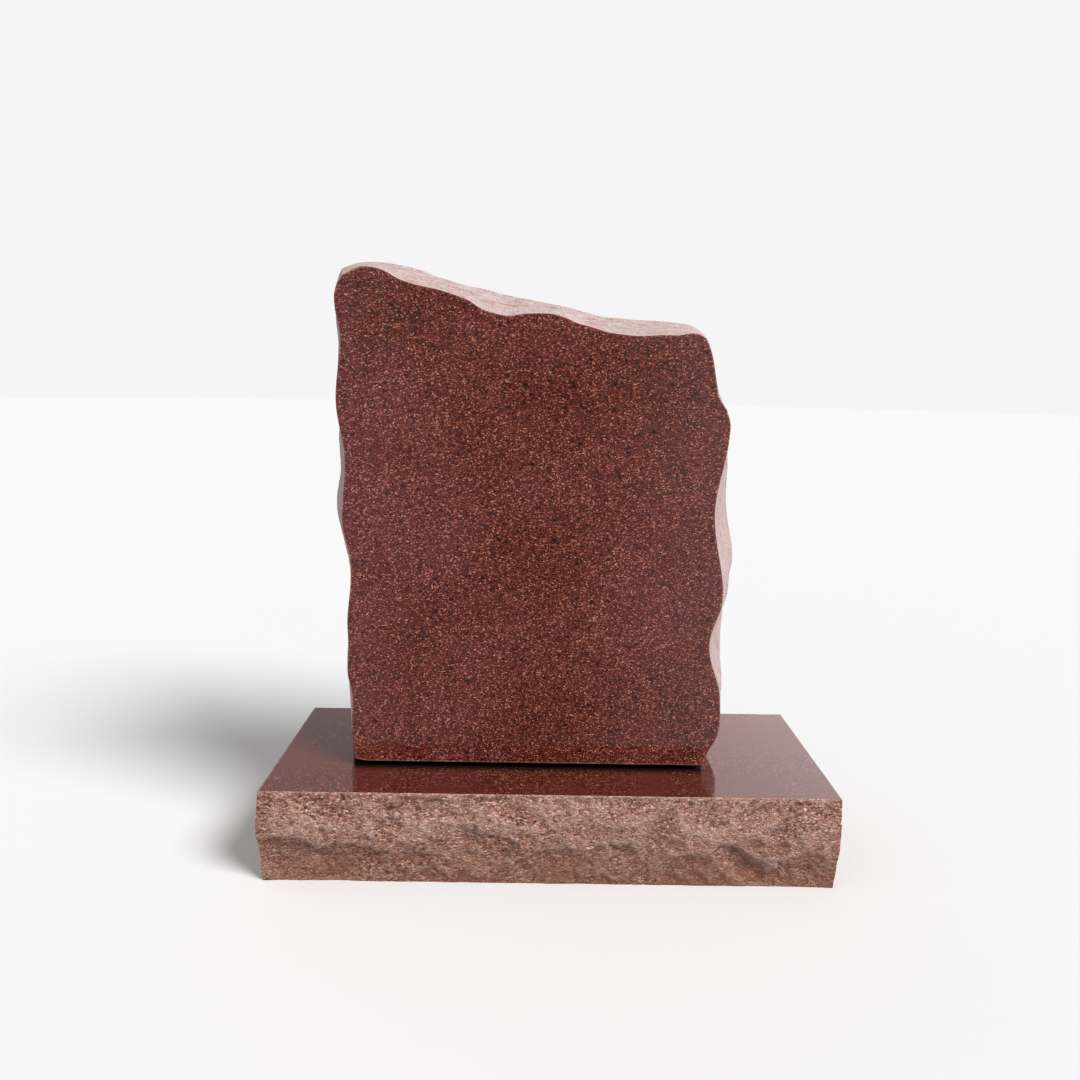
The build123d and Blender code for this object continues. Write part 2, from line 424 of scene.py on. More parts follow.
def grain_group() -> bpy.types.NodeTree:
    """The granite's grain, for every finish.

    Inputs are the place and the size of a grain in metres. Outputs are Mineral, the tone of
    each grain and of the specks in it, darkest in a few clusters of dark mineral, Cloud, the
    slow drift of colour through the block, Fine, a fine noise, and Relief, the height of the
    broken grains.

    Returns:
        The group's tree.
    """
    labels = ("Mineral", "Cloud", "Fine", "Relief")
    sockets = {"Place": "Vector", "Grain Size": "Float"}
    tree, sheet, given, result = new_group("granite_grain", sockets, dict.fromkeys(labels, "Float"))
    place, size = given["Place"], given["Grain Size"]
    scale = sheet.maths("DIVIDE", 1.0, size)

    def vector(operation: str, sockets: dict) -> Socket:
        """Adds a Vector Math node and returns its vector."""
        return sheet.node("ShaderNodeVectorMath", sockets, operation=operation).outputs[0]

    drawn = vector("MULTIPLY", {0: place, 1: (0.8, 1.0, 1.15)})
    bend = sheet.node("ShaderNodeTexNoise", {"Vector": drawn, "Scale": sheet.maths("MULTIPLY", scale, 0.9)})
    pushed = vector("SUBTRACT", {0: bend.outputs["Color"], 1: (0.5, 0.5, 0.5)})
    moved = vector("SCALE", {0: pushed, "Scale": sheet.maths("MULTIPLY", size, 1.2)})
    bent = vector("ADD", {0: drawn, 1: moved})
    grains, from_grain = sheet.cells(bent, scale)
    specks, _ = sheet.cells(bent, sheet.maths("MULTIPLY", scale, 1.9))
    clusters, from_cluster = sheet.cells(bent, sheet.maths("MULTIPLY", scale, 0.17))
    tone = sheet.maths("MULTIPLY_ADD", grains, 0.7, sheet.maths("MULTIPLY", specks, 0.3))
    core = sheet.spread(from_cluster, 0.40, 0.15, 0.0, 0.7)
    core = sheet.maths("MULTIPLY", core, sheet.maths("GREATER_THAN", clusters, 0.93))
    mineral = sheet.maths("MULTIPLY", tone, sheet.maths("SUBTRACT", 1.0, core))
    slow = sheet.noise(place, 5.5, 4.0, 0.55)
    fine = sheet.noise(place, sheet.maths("MULTIPLY", scale, 0.7), 4.0)
    lift = sheet.maths("MULTIPLY", sheet.maths("SUBTRACT", 1.0, from_grain), 0.6)
    lift = sheet.maths("ADD", lift, sheet.maths("MULTIPLY", mineral, 0.4))
    for label, value in zip(labels, (mineral, slow, fine, lift)):
        tree.links.new(value, result.inputs[label])
    return tree


def bruise_and_shade_group() -> bpy.types.NodeTree:
    """Struck stone and painted shade, for every finish.

    Where the piece's attribute of bruising and painted shade is above nothing, crushed crystals
    turn the stone pale, and where it is below, the colour is darkened towards a painted shade
    colour: shade painted into the rock's hollows and dark marks, onto the tablet's foot and onto
    the base's top under and just in front of it. Inputs are the stone's colour, the crushed
    stone's and the painted shade's, a fine noise that breaks the marks up, and the strength of
    the pale marks and of the dark ones. The output is a colour.

    Returns:
        The group's tree.
    """
    sockets = dict.fromkeys(("Colour", "Crushed", "Painted Shade"), "Color")
    sockets |= dict.fromkeys(("Fine", "Pale", "Dark"), "Float")
    tree, sheet, given, result = new_group("struck_stone_and_painted_shade", sockets, {"Colour": "Color"})
    wear_and_shade_here = sheet.node("ShaderNodeAttribute", attribute_name="wear_and_shade").outputs["Fac"]
    broken = sheet.spread(given["Fine"], 0.3, 0.62, 0.35, 1.0)
    pale = sheet.maths("MULTIPLY", sheet.maths("MAXIMUM", wear_and_shade_here, 0.0), broken)
    lightened = sheet.mix(sheet.maths("MULTIPLY", pale, given["Pale"]), given["Colour"], given["Crushed"])
    # Below nothing the colour darkens towards the painted shade colour, as strongly as Dark says.
    sunk = sheet.maths("MAXIMUM", sheet.maths("MULTIPLY", wear_and_shade_here, -1.0), 0.0)
    shaded = sheet.mix(sheet.maths("MULTIPLY", sunk, given["Dark"]), lightened, given["Painted Shade"])
    tree.links.new(shaded, result.inputs["Colour"])
    return tree


@dataclass(frozen=True)
class GraniteFinish:
    """One finish of the same red granite: its name, the minerals' colours by tone, a grain's size.

    The tone lightens or darkens the stone, and the drift is how far slow clouds change its
    colour. Haze veils the grain in patches. Crushed stone shows on arrises and ridges, as
    strongly as pale says. The painted shade colour is shade painted into hollows, onto the
    tablet's foot and onto the base's top under it, as strongly as dark says. The roughness is
    that of the dark minerals, and the fine noise spreads it. The relief is the broken grains'
    height, in metres. Streaks are the tool's marks along the edge, and the foot tint darkens
    and warms the lower stone.
    """

    name: str
    minerals: tuple[tuple[float, Colour], ...]
    grain_size: float
    tone: float = 1.0
    drift: float = 0.12
    haze: Colour = (0.10, 0.022, 0.015)
    haze_strength: float = 0.0
    crushed: Colour = (0.62, 0.5, 0.47)
    pale: float = 0.5
    painted_shade: Colour = (0.05, 0.03, 0.025)
    dark: float = 0.0
    roughness: float = 0.08
    roughness_spread: float = 0.08
    specular: float = 0.5
    relief: float = 0.0
    streaks: float = 0.0
    foot_tint: Colour = (0.4, 0.2, 0.1)
    foot_tint_strength: float = 0.0

    def build(self, grain: bpy.types.NodeTree, bruise_and_shade: bpy.types.NodeTree) -> bpy.types.Material:
        """Makes the material.

        Args:
            grain: The granite grain group.
            bruise_and_shade: The group of struck stone and painted shade.

        Returns:
            The material.
        """
        material = bpy.data.materials.new(self.name)
        material.use_nodes = True
        sheet = NodeSheet(material.node_tree)
        place = sheet.node("ShaderNodeTexCoord").outputs["Object"]
        sockets = {"Place": place, "Grain Size": self.grain_size}
        stone = sheet.node("ShaderNodeGroup", sockets, node_tree=grain).outputs
        colour = sheet.ramp(stone["Mineral"], self.minerals)
        if self.haze_strength:
            colour = self._hazed(sheet, colour, stone["Cloud"])
        colour = self._drifted(sheet, colour, stone["Cloud"])
        if self.streaks:
            colour = self._streaked(sheet, colour)
        if self.foot_tint_strength:
            colour = self._tinted_low(sheet, colour, place, stone["Cloud"])
        mark = sheet.node("ShaderNodeGroup", {
            "Colour": colour,
            "Crushed": (*self.crushed, 1.0),
            "Painted Shade": (*self.painted_shade, 1.0),
            "Fine": stone["Fine"],
            "Pale": self.pale,
            "Dark": self.dark,
        }, node_tree=bruise_and_shade)
        rougher = self.roughness + self.roughness_spread
        shader = sheet.node("ShaderNodeBsdfPrincipled", {
            "Base Color": mark.outputs["Colour"],
            "Roughness": sheet.spread(stone["Fine"], 0.35, 0.7, self.roughness, rougher),
            "Specular IOR Level": self.specular,
        })
        if self.relief:
            height = sheet.maths("ADD", stone["Relief"], sheet.maths("MULTIPLY", stone["Fine"], 0.8))
            bump = sheet.node("ShaderNodeBump", {"Strength": 1.0, "Distance": self.relief, "Height": height})
            sheet.tree.links.new(bump.outputs["Normal"], shader.inputs["Normal"])
        sheet.node("ShaderNodeOutputMaterial", {"Surface": shader.outputs[0]})
        return material

    def _drifted(self, sheet: NodeSheet, colour: Socket, cloud: Socket) -> Socket:
        """Takes the colour from a darker, more orange one to a lighter, more mauve one by the clouds."""
        far = self.drift
        low, high = self.tone * (1.0 - far), self.tone * (1.0 + far)
        orange = (low * (1.0 + 0.55 * far), low * (1.0 - 0.15 * far), low * (1.0 - 1.1 * far))
        mauve = (high * (1.0 - 0.1 * far), high * (1.0 - 0.15 * far), high * (1.0 + 0.6 * far))
        return sheet.mix(1.0, colour, sheet.ramp(cloud, ((0.34, orange), (0.66, mauve))), "MULTIPLY")

    def _hazed(self, sheet: NodeSheet, colour: Socket, cloud: Socket) -> Socket:
        """Veils the grain with one colour, in patches that follow the slow clouds."""
        share = sheet.spread(cloud, 0.38, 0.6, 0.1 * self.haze_strength, self.haze_strength)
        return sheet.mix(share, colour, (*self.haze, 1.0))

    def _streaked(self, sheet: NodeSheet, colour: Socket) -> Socket:
        """Lays pale and red streaks along the edge, as the dressing tool leaves them.

        Args:
            sheet: The material's sheet.
            colour: The stone's colour.

        Returns:
            The streaked colour.
        """
        edge = sheet.node("ShaderNodeAttribute", attribute_name="along_edge").outputs["Vector"]
        drawn = sheet.node("ShaderNodeMapping", {"Vector": edge, "Scale": (30.0, 62.0, 1.0)}).outputs[0]
        lines = sheet.noise(drawn, 1.0, 6.0, 0.8)
        broad = sheet.node("ShaderNodeMapping", {"Vector": edge, "Scale": (9.0, 17.0, 1.0)}).outputs[0]
        patches = sheet.spread(sheet.noise(broad, 1.0, 3.0), 0.44, 0.60, 0.15, 1.0)
        red = sheet.maths("MULTIPLY", sheet.spread(lines, 0.52, 0.60, 0.0, self.streaks), patches)
        reddened = sheet.mix(red, colour, (0.33, 0.105, 0.08, 1.0))
        pale = sheet.spread(lines, 0.47, 0.36, 0.0, 0.8 * self.streaks)
        return sheet.mix(pale, reddened, (0.72, 0.65, 0.63, 1.0))

    def _tinted_low(self, sheet: NodeSheet, colour: Socket, place: Socket, cloud: Socket) -> Socket:
        """Darkens and warms the stone towards its foot, in patches that follow the slow clouds.

        Args:
            sheet: The material's sheet.
            colour: The stone's colour.
            place: The place in the object.
            cloud: The slow clouds.

        Returns:
            The stained colour.
        """
        height = sheet.node("ShaderNodeSeparateXYZ", {0: place}).outputs["Z"]
        low = sheet.spread(height, 0.095, 0.0, 0.0, 1.0)
        patchy = sheet.maths("MULTIPLY", low, sheet.spread(cloud, 0.35, 0.65, 0.35, 1.0))
        share = sheet.maths("MULTIPLY", patchy, self.foot_tint_strength)
        return sheet.mix(share, colour, (*self.foot_tint, 1.0))


POLISHED_MINERALS = (
    (0.13, (0.002, 0.002, 0.004)),
    (0.27, (0.018, 0.006, 0.009)),
    (0.38, (0.085, 0.015, 0.013)),
    (0.58, (0.160, 0.028, 0.021)),
    (0.74, (0.26, 0.052, 0.031)),
    (0.85, (0.46, 0.135, 0.075)),
    (0.93, (1.0, 0.57, 0.40)),
)
DRESSED_MINERALS = (
    (0.08, (0.22, 0.115, 0.10)),
    (0.25, (0.43, 0.33, 0.305)),
    (0.60, (0.52, 0.418, 0.395)),
    (0.95, (0.66, 0.56, 0.53)),
)
PITCHED_MINERALS = (
    (0.12, (0.02, 0.012, 0.011)),
    (0.27, (0.15, 0.056, 0.040)),
    (0.44, (0.40, 0.182, 0.132)),
    (0.68, (0.56, 0.277, 0.205)),
    (0.80, (0.76, 0.45, 0.35)),
    (0.92, (1.0, 0.79, 0.67)),
)

FACE_POLISH = GraniteFinish(
    "polished_face", POLISHED_MINERALS, grain_size=0.0017, specular=0.4, drift=0.2,
    haze=(0.175, 0.042, 0.035), haze_strength=0.16, crushed=(0.60, 0.30, 0.22), pale=0.85,
)
# On the polished top the near-black shade colour, at nearly full strength, is painted shade under the
# tablet's foot and just in front of it.
TOP_POLISH = GraniteFinish(
    "polished_top", POLISHED_MINERALS, grain_size=0.002, tone=0.70, drift=0.08, roughness=0.05,
    roughness_spread=0.05, haze=(0.145, 0.031, 0.021), haze_strength=0.97,
    pale=0.45, painted_shade=(0.010, 0.006, 0.005), dark=0.97,
)
DRESSED = GraniteFinish(
    "dressed_edge", DRESSED_MINERALS, grain_size=0.0024, drift=0.06, roughness=0.62,
    roughness_spread=0.25, relief=0.0006, streaks=0.9, crushed=(0.74, 0.66, 0.64), pale=0.8, dark=0.25,
)
# On the pitched rock the shade colour is painted shade in the hollows and in the front's painted shadows,
# and the foot tint darkens and warms the lower rock.
PITCHED = GraniteFinish(
    "pitched_rock", PITCHED_MINERALS, grain_size=0.0031, drift=0.07, roughness=0.7,
    roughness_spread=0.25, relief=0.0032, haze=(0.52, 0.28, 0.215), haze_strength=0.3,
    crushed=(0.76, 0.51, 0.43), pale=0.45, painted_shade=(0.085, 0.042, 0.030), dark=0.5,
    foot_tint=(0.30, 0.11, 0.05), foot_tint_strength=0.85,
)
# The sawn finish's near-black shade colour, at nearly full strength, is painted shade on the tablet's foot;
# the back and the underside carry none.
SAWN = GraniteFinish(
    "sawn_back", PITCHED_MINERALS, grain_size=0.0024, roughness=0.55, roughness_spread=0.2,
    relief=0.0003, haze=(0.44, 0.22, 0.165), haze_strength=0.4, pale=0.4,
    painted_shade=(0.015, 0.009, 0.008), dark=0.97,
)


# --- tablet


class Corner(Enum):
    """The tablet's corners, by the direction in which each one is the furthest out."""

    FOOT_LEFT = (-1.0, -1.0)
    HEAD_LEFT = (-1.0, 1.0)
    SHOULDER_RIGHT = (1.0, 1.0)
    FOOT_RIGHT = (1.0, -1.0)

    def on(self, outline: np.ndarray) -> int:
        """The number of this corner's point on an outline."""
        return int(np.argmax(outline @ np.array(self.value)))


@dataclass(frozen=True)
class Dressing:
    """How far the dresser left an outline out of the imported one, as (share, millimetres).

    The shares run up the left side, along the top and down the right side. Between two of
    them the work runs straight, so that it leaves crisp corners.
    """

    left: Work
    top: Work
    right: Work

    def along(self, counts: list[int]) -> np.ndarray:
        """The distance out at every point, in millimetres, with nothing on the foot.

        Args:
            counts: How many points the left side, the top, the right side and the foot have.

        Returns:
            One distance for each point.
        """
        works = zip(counts, (self.left, self.top, self.right))
        sides = [np.interp(np.arange(count) / count, *np.array(work).T) for count, work in works]
        return np.concatenate([*sides, np.zeros(counts[3])])


FACE_DRESSING = Dressing(
    left=(
        (0.0, 0.0), (0.40, 0.0), (0.45, -3.0), (0.50, -3.0), (0.555, -6.0), (0.60, -3.0), (0.635, 0.0),
        (0.845, 0.0), (0.87, -3.5), (0.90, -4.5), (0.94, -2.0), (0.96, -1.0), (1.0, -4.0),
    ),
    top=(
        (0.0, -4.0), (0.015, -3.5), (0.035, 0.0), (0.055, 2.2), (0.09, 2.8), (0.12, 3.0), (0.16, 1.5),
        (0.2, 0.0),
    ),
    right=((0.0, 0.0), (0.125, 0.0), (0.158, 5.5), (0.185, 3.0), (0.21, 0.0)),
)
BACK_DRESSING = Dressing(
    left=(
        (0.0, -4.5), (0.03, -4.5), (0.06, -3.0), (0.10, -0.5), (0.13, -3.5), (0.16, -2.5), (0.20, -1.0),
        (0.26, -1.0), (0.31, -1.5), (0.35, -4.5), (0.395, -5.0), (0.415, -1.0), (0.46, -2.5),
        (0.54, -1.5), (0.58, -2.0), (0.61, 0.5), (0.65, 1.5), (0.68, -1.0), (0.85, -1.5), (0.97, 0.0),
        (1.0, 0.5),
    ),
    top=(
        (0.0, 0.5), (0.04, 1.0), (0.08, -0.5), (0.13, 0.5), (0.18, 0.5), (0.22, -2.0), (0.25, -4.5),
        (0.30, -2.0), (0.36, 0.0), (0.96, 0.0), (1.0, -4.0),
    ),
    right=(
        (0.0, -4.0), (0.04, -0.5), (0.17, 0.0), (0.21, -2.5), (0.25, -2.0), (0.28, -2.5), (0.32, -1.0),
        (0.38, -2.5), (0.50, -1.5), (0.55, -1.5), (0.59, -4.5), (0.64, 1.0), (0.67, -2.0), (0.70, -0.5),
        (0.80, -1.5), (0.84, 1.0), (0.90, 1.0), (1.0, -1.5),
    ),
)


@dataclass
class Tablet:
    """The polished tablet with its dressed edges and its foot.

    Lengths are in metres, except those of the flakes, of the marks and of their fades.
    """

    node: str = "tablet"
    name: str = "granite_tablet"
    spacing: float = 0.0027
    rows: int = 56
    arris: float = 0.0005
    arris_wander: Roughness = Roughness(0.7, 0.02, 3, 11)
    bruise_reach: float = 0.005
    flare_power: float = 0.97
    bed_from_faces: float = 0.036
    bed_from_ends: float = 0.022
    bed_fade: float = 0.004
    bed_roughness: Roughness = Roughness(0.0012, 0.02, 4, 61)
    chip_width: float = 0.018
    chip_height: float = 0.003
    chip_depth: float = 0.012
    broad_flakes: Strewing = Strewing(60.0, (30.0, 80.0), (1.5, 4.5), (0.5, 0.9), 23)
    small_flakes: Strewing = Strewing(8.95, (8.0, 24.0), (0.4, 1.5), (0.35, 0.8), 29)
    fade_face: float = 16.0
    fade_back: float = 10.0
    fade_marks: float = 3.0
    marks: Roughness = Roughness(0.35, 22.0, 3, 31)
    grain: Roughness = Roughness(0.30, 0.009, 3, 37)
    crease: float = 38.0

    def outline(self, depth: float) -> np.ndarray:
        """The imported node's own outline in one of its flat faces.

        Args:
            depth: The face's Y.

        Returns:
            Points of shape (n, 2), X and Z, in order round the outline.
        """
        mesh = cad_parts[self.node].data
        flat = np.zeros(len(mesh.vertices) * 3, np.float32)
        mesh.vertices.foreach_get("co", flat)
        points = flat.reshape(-1, 3).astype(float)
        level = points[np.abs(points[:, 1] - depth) < 0.02 * MM][:, [0, 2]]
        level = np.unique(np.round(level, 6), axis=0)
        spoke = level - (level.min(axis=0) + level.max(axis=0)) / 2
        return level[np.argsort(-np.arctan2(spoke[:, 1], spoke[:, 0]))]

    def foot_corners(self) -> np.ndarray:
        """The foot's corners, X and Y: front left, front right, back right and back left."""
        low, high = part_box(self.node)
        left, right = Corner.FOOT_LEFT, Corner.FOOT_RIGHT
        corners = []
        for depth, names in ((low.y, (left, right)), (high.y, (right, left))):
            outline = self.outline(depth)
            corners += [(outline[name.on(outline), 0], depth) for name in names]
        worked = np.array([0.0, 0.0, BACK_DRESSING.right[-1][1], -BACK_DRESSING.left[0][1]]) * MM
        return np.array(corners) + np.stack([worked, 0 * worked], axis=-1)

    def side(self, outline: np.ndarray, start: Corner, end: Corner, count: int) -> np.ndarray:
        """Evenly spaced points from one corner to the next, without the last.

        The way along the outline's straight pieces is added up, and the points stand at equal
        shares of it.

        Args:
            outline: The outline, running clockwise as seen from the front.
            start: The corner where the side begins.
            end: The corner where it ends.
            count: How many points.

        Returns:
            Points of shape (count, 2).
        """
        first, last = start.on(outline), end.on(outline)
        walk = np.arange(first, last + 1 if last > first else last + 1 + len(outline)) % len(outline)
        run = outline[walk]
        gone = way_along(run)
        at = np.linspace(0.0, gone[-1], count, endpoint=False)
        return np.stack([np.interp(at, gone, run[:, 0]), np.interp(at, gone, run[:, 1])], axis=-1)

    def build(self, materials: list[bpy.types.Material]) -> bpy.types.Object:
        """Makes the tablet as one closed surface, from the middle of its face to that of its back.

        Args:
            materials: Face, dressed edge and sawn back.

        Returns:
            The tablet.
        """
        low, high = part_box(self.node)
        thick = high.y - low.y
        face, back = self.outline(low.y), self.outline(high.y)
        sides = list(zip(Corner, [*Corner][1:] + [*Corner][:1]))
        straight = [np.linalg.norm(face[end.on(face)] - face[start.on(face)]) for start, end in sides]
        counts = [int(length / self.spacing) for length in straight]
        near, far = (
            np.concatenate([self.side(edge, *ends, count) for ends, count in zip(sides, counts)])
            for edge in (face, back)
        )
        gone = way_along(near)
        share = np.concatenate([[0.0, self.arris / thick * 0.9], np.linspace(0.03, 1.0, self.rows)])
        grid, out = self._grid(near, far, counts, share, gone)
        on_foot = np.arange(len(near)) >= len(near) - counts[3]

        piece = Rings(self.name)
        inset = self.arris * (1.0 + self.arris_wander.over(grid[0]))
        polish = grid[0] - np.stack([out[:, 0], 0 * inset, out[:, 1]], axis=-1) * inset[:, None]
        middle = polish.mean(axis=0)
        edge_place = np.stack([gone, 0 * gone], axis=-1)
        for scale in (0.35, 0.75, 0.993):
            piece.add(middle + (polish - middle) * scale, edge_place, 0.0, Band.POLISHED)
        piece.add(polish, edge_place, np.where(on_foot, 0.7, 0.25), Band.POLISHED)
        piece.add(grid[1], edge_place + [0.0, share[1] * thick], 1.0, Band.POLISHED)
        for number in range(2, len(share)):
            # Behind the foot's arris the points get -1: painted shade, near black with the sawn finish.
            under = on_foot & (number > 2)
            bruised = max(0.0, 1.0 - share[number] * thick / self.bruise_reach)
            band = np.where(under, Band.SAWN, Band.STRUCK)
            place = edge_place + [0.0, share[number] * thick]
            piece.add(grid[number], place, np.where(under, -1.0, bruised), band)
        rear = grid[-1].mean(axis=0)
        for scale in (0.97, 0.7, 0.35):
            piece.add(rear + (grid[-1] - rear) * scale, edge_place + [0.0, thick], 0.0, Band.SAWN)
        return piece.build(materials, Band.SAWN, self.crease)

    def _grid(
        self, near: np.ndarray, far: np.ndarray, counts: list[int], share: np.ndarray, gone: np.ndarray
    ) -> tuple[np.ndarray, np.ndarray]:
        """The rings from the face to the back, with the dresser's work, the foot and its broken corner.

        Args:
            near: The face's outline, X and Z.
            far: The back's outline, point for point.
            counts: How many points each side has, from the left side round to the foot.
            share: Each ring's share of the way from the face to the back.
            gone: The way along the face's outline.

        Returns:
            Points of shape (rings, columns, 3), and the ways out of the face's outline, X and Z.
        """
        low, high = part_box(self.node)
        thick = high.y - low.y
        column = np.arange(len(near))
        foot_start = len(near) - counts[3]
        depth = share[:, None] * np.ones(len(near))
        plan = near + (far - near) * (depth ** self.flare_power)[..., None]
        out = self._outward(plan)
        face, back = FACE_DRESSING.along(counts), BACK_DRESSING.along(counts)
        plan = plan + out * ((face + (back - face) * depth) * MM)[..., None]
        depth = depth * thick
        push = self._push(plan, depth, gone, foot_start) * MM
        x, z = plan[..., 0] + out[..., 0] * push, plan[..., 1] + out[..., 1] * push
        z = np.where(column >= foot_start, low.z + self._lift(plan, depth, gone, foot_start), z)
        across = np.clip(column - foot_start + 1, 0, None) / (counts[3] + 1)
        foot_x = x[:, foot_start - 1, None] + (x[:, 0, None] - x[:, foot_start - 1, None]) * across
        x = np.where(column >= foot_start, foot_x, x)
        chip = self.chip_height * np.clip(1 - np.abs(plan[..., 0] - near[0, 0]) / self.chip_width, 0, 1)
        chip = chip * np.exp(-depth / self.chip_depth) * (plan[..., 1] < near[0, 1] + 2 * self.chip_height)
        z = z + np.where(plan[..., 0] < near[0, 0] + self.chip_width, chip, 0.0)
        return np.stack([x, low.y + depth, z], axis=-1), out[0]

    def _outward(self, plan: np.ndarray) -> np.ndarray:
        """The way out of the outline in its own plane: the way along it, turned to the left.

        Args:
            plan: Outlines of shape (rows, columns, 2), running clockwise.

        Returns:
            Unit vectors of the same shape.
        """
        way = np.roll(plan, -3, axis=1) - np.roll(plan, 3, axis=1)
        out = np.stack([-way[..., 1], way[..., 0]], axis=-1)
        return out / np.linalg.norm(out, axis=-1, keepdims=True)

    def _lift(self, plan: np.ndarray, depth: np.ndarray, gone: np.ndarray, foot_start: int) -> np.ndarray:
        """How high the foot stands above its bed: the outline's height at its edges, falling
        straight to nothing at the bed's border, with the roughness of the tool on the slope.

        Args:
            plan: The outlines, X and Z.
            depth: How far behind the face each point is.
            gone: The way along the outline.
            foot_start: The first of the foot's columns.

        Returns:
            Heights of shape (rows, columns).
        """
        along = gone - gone[foot_start]
        from_ends = np.minimum(along, gone[-1] - gone[foot_start] - along)
        from_faces = np.minimum(depth, depth[-1] - depth)
        share = np.minimum(from_ends / self.bed_from_ends, from_faces / self.bed_from_faces)
        slope = np.clip(1.0 - share, 0.0, 1.0)
        points = np.stack([plan[..., 0], depth, np.zeros(depth.shape)], axis=-1)
        edge = np.clip(4 * slope, 0, 1) * np.clip(from_faces / self.bed_fade, 0, 1)
        clearance = plan[0, foot_start:, 1].min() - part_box(self.node)[0].z
        return clearance * slope + np.abs(self.bed_roughness.over(points)) * edge

    def _push(self, plan: np.ndarray, depth: np.ndarray, gone: np.ndarray, foot_start: int) -> np.ndarray:
        """How far the dressed edge stands out of the straight way from face to back.

        Large and small flakes are struck off it, less and less towards the face and the back,
        and it bears tool marks and grain, which die out at the face alone.

        Args:
            plan: The outlines, X and Z.
            depth: How far behind the face each point is, in metres.
            gone: The way along the outline, in metres.
            foot_start: The first of the foot's columns.

        Returns:
            Millimetres of shape (rows, columns).
        """
        thick, length = depth[-1, 0] / MM, gone[foot_start] / MM
        along, across = gone / MM * np.ones(depth.shape), depth / MM
        cut = struck(along, across, self.broad_flakes.over(length, thick))
        cut = cut + struck(along, across, self.small_flakes.over(length, thick))
        fade = smooth(across / self.fade_face) * smooth((thick - across) / self.fade_back)
        marks = self.marks.over(np.stack([along, across * 6.0, 0 * along], axis=-1))
        grain = self.grain.over(np.stack([plan[..., 0], depth, plan[..., 1]], axis=-1))
        return (marks + grain) * smooth(across / self.fade_marks) - cut * fade


# --- base


FRONT_FLAKES = [Flake(*sizes) for sizes in (
    (-418.0, 40.0, 62.0, 44.0, 7.0, -3.0, 0.7), (-322.0, 30.0, 84.0, 46.0, 5.5, 8.0, 0.7),
    (-346.0, 128.0, 52.0, 26.0, 3.0, 8.0, -0.4), (-258.0, 120.0, 36.0, 32.0, 4.5, 38.0, -0.5),
    (-214.0, 132.0, 26.0, 28.0, 4.5, 62.0, 0.4), (-176.0, 122.0, 32.0, 34.0, 5.0, 20.0, 0.4),
    (-112.0, 58.0, 86.0, 44.0, 5.5, -16.0, 0.7), (-212.0, 34.0, 66.0, 30.0, 3.5, 12.0, 0.4),
    (-52.0, 128.0, 58.0, 20.0, 5.0, -19.0, -0.5), (26.0, 128.0, 44.0, 22.0, 3.0, 6.0, -0.4),
    (14.0, 36.0, 84.0, 34.0, 4.0, 7.0, 0.5), (62.0, 96.0, 50.0, 26.0, 4.0, -8.0, 0.4),
    (112.0, 130.0, 46.0, 22.0, 3.5, 12.0, -0.3), (118.0, 44.0, 60.0, 36.0, 3.5, -10.0, 0.5),
    (176.0, 96.0, 50.0, 26.0, 7.0, 66.0, 0.6), (222.0, 30.0, 56.0, 32.0, 4.0, 10.0, 0.5),
    (240.0, 122.0, 44.0, 24.0, 4.5, -18.0, -0.4), (302.0, 36.0, 58.0, 28.0, 9.0, -40.0, 0.8),
    (322.0, 124.0, 44.0, 26.0, 4.0, 16.0, -0.3), (372.0, 92.0, 44.0, 28.0, 5.5, 68.0, 0.6),
    (404.0, 30.0, 50.0, 34.0, 4.5, 12.0, 0.4), (430.0, 118.0, 30.0, 34.0, 4.0, 15.0, 0.3),
)]
FRONT_PALE_MARKS = [Flake(*sizes) for sizes in (
    (-392.0, 104.0, 70.0, 20.0, 0.9), (-212.0, 96.0, 34.0, 26.0, 1.3, 30.0),
    (-104.0, 104.0, 66.0, 16.0, 1.0, -14.0), (-20.0, 128.0, 62.0, 18.0, 0.8, -10.0),
    (70.0, 138.0, 70.0, 16.0, 0.7), (246.0, 96.0, 52.0, 24.0, 0.8, -20.0),
    (300.0, 66.0, 48.0, 12.0, 1.1, -38.0), (400.0, 84.0, 40.0, 26.0, 0.7, 60.0),
)]
# Painted shadows in the hollows of the front's flakes, darkening the rock towards the shade colour.
FRONT_PAINTED_SHADOWS = [Flake(*sizes) for sizes in (
    (178.0, 92.0, 46.0, 22.0, 0.8, 70.0), (-330.0, 48.0, 90.0, 26.0, 0.5),
    (310.0, 34.0, 34.0, 18.0, 0.9, -50.0), (-70.0, 80.0, 60.0, 14.0, 0.7, -16.0),
    (392.0, 120.0, 34.0, 22.0, 0.6, 30.0),
)]


